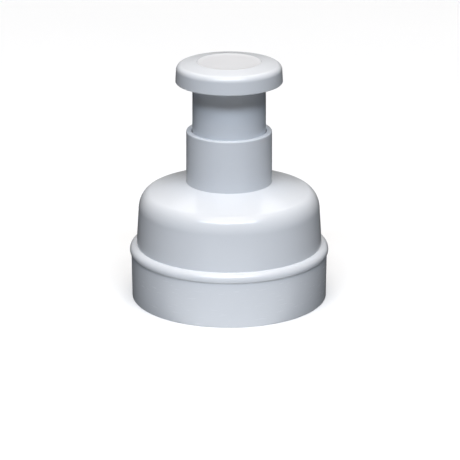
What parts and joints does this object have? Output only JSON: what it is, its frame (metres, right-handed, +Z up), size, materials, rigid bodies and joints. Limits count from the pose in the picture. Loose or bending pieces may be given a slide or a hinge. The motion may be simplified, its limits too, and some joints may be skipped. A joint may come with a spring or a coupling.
{
  "type": "hamburger patty press",
  "caption": "Bell-shaped hand press with a mushroom-knob plunger that springs back, standing on a loose mould ring that shapes a round patty.",
  "frame": {"origin": "centre of the circle that the mould ring stands on", "axes": "+Z up along the plunger's axis; +X and +Y are free, because the outside is round"},
  "size_m": [0.1164, 0.1164, 0.1413],
  "materials": {
    "ring_plastic": "white injection-moulded polystyrene, semi-gloss",
    "housing_plastic": "white injection-moulded polystyrene, gloss",
    "plunger_plastic": "white injection-moulded polystyrene, gloss",
    "cap_plastic": "white injection-moulded polystyrene, fine satin",
    "inner_plastic": "off-white polypropylene, satin",
    "bearing_plastic": "natural acetal, turned",
    "spring_steel": "drawn stainless spring wire",
    "stainless": "turned stainless steel",
    "brass": "knurled brass",
    "rubber": "black rubber"
  },
  "bodies": {
    "mould": {"mould_ring": "ring_plastic"},
    "head": {"bell_housing": "housing_plastic", "spring_carrier": "inner_plastic", "carrier_screw_1": "stainless", "carrier_screw_2": "stainless", "carrier_screw_3": "stainless", "upper_guide_bush": "bearing_plastic", "lower_guide_bush": "bearing_plastic", "lower_spring_washer": "stainless", "return_spring": "spring_steel"},
    "spring_top": {"thrust_washer": "bearing_plastic"},
    "plunger": {"plunger_sleeve": "plunger_plastic", "plunger_stem": "stainless", "knob": "plunger_plastic", "knob_cap": "cap_plastic", "draw_bolt": "stainless", "bolt_washer": "stainless", "stop_washer": "rubber", "press_plate": "inner_plastic", "plate_insert": "brass"}
  },
  "joints": [
    {"name": "head_lift", "type": "slide", "parent": "mould", "child": "head", "axis": [0, 0, 1], "range_m": [0, 0.05]},
    {"name": "plunger_press", "type": "slide", "parent": "head", "child": "spring_top", "axis": [0, 0, -1], "range_m": [0, 0.027], "stiffness_N_per_m": 480, "springref_m": -0.018, "deforming": ["return_spring"]},
    {"name": "plunger_turn", "type": "hinge", "parent": "spring_top", "child": "plunger", "pos_m": [0, 0, 0.129], "axis": [0, 0, 1], "continuous": true}
  ]
}
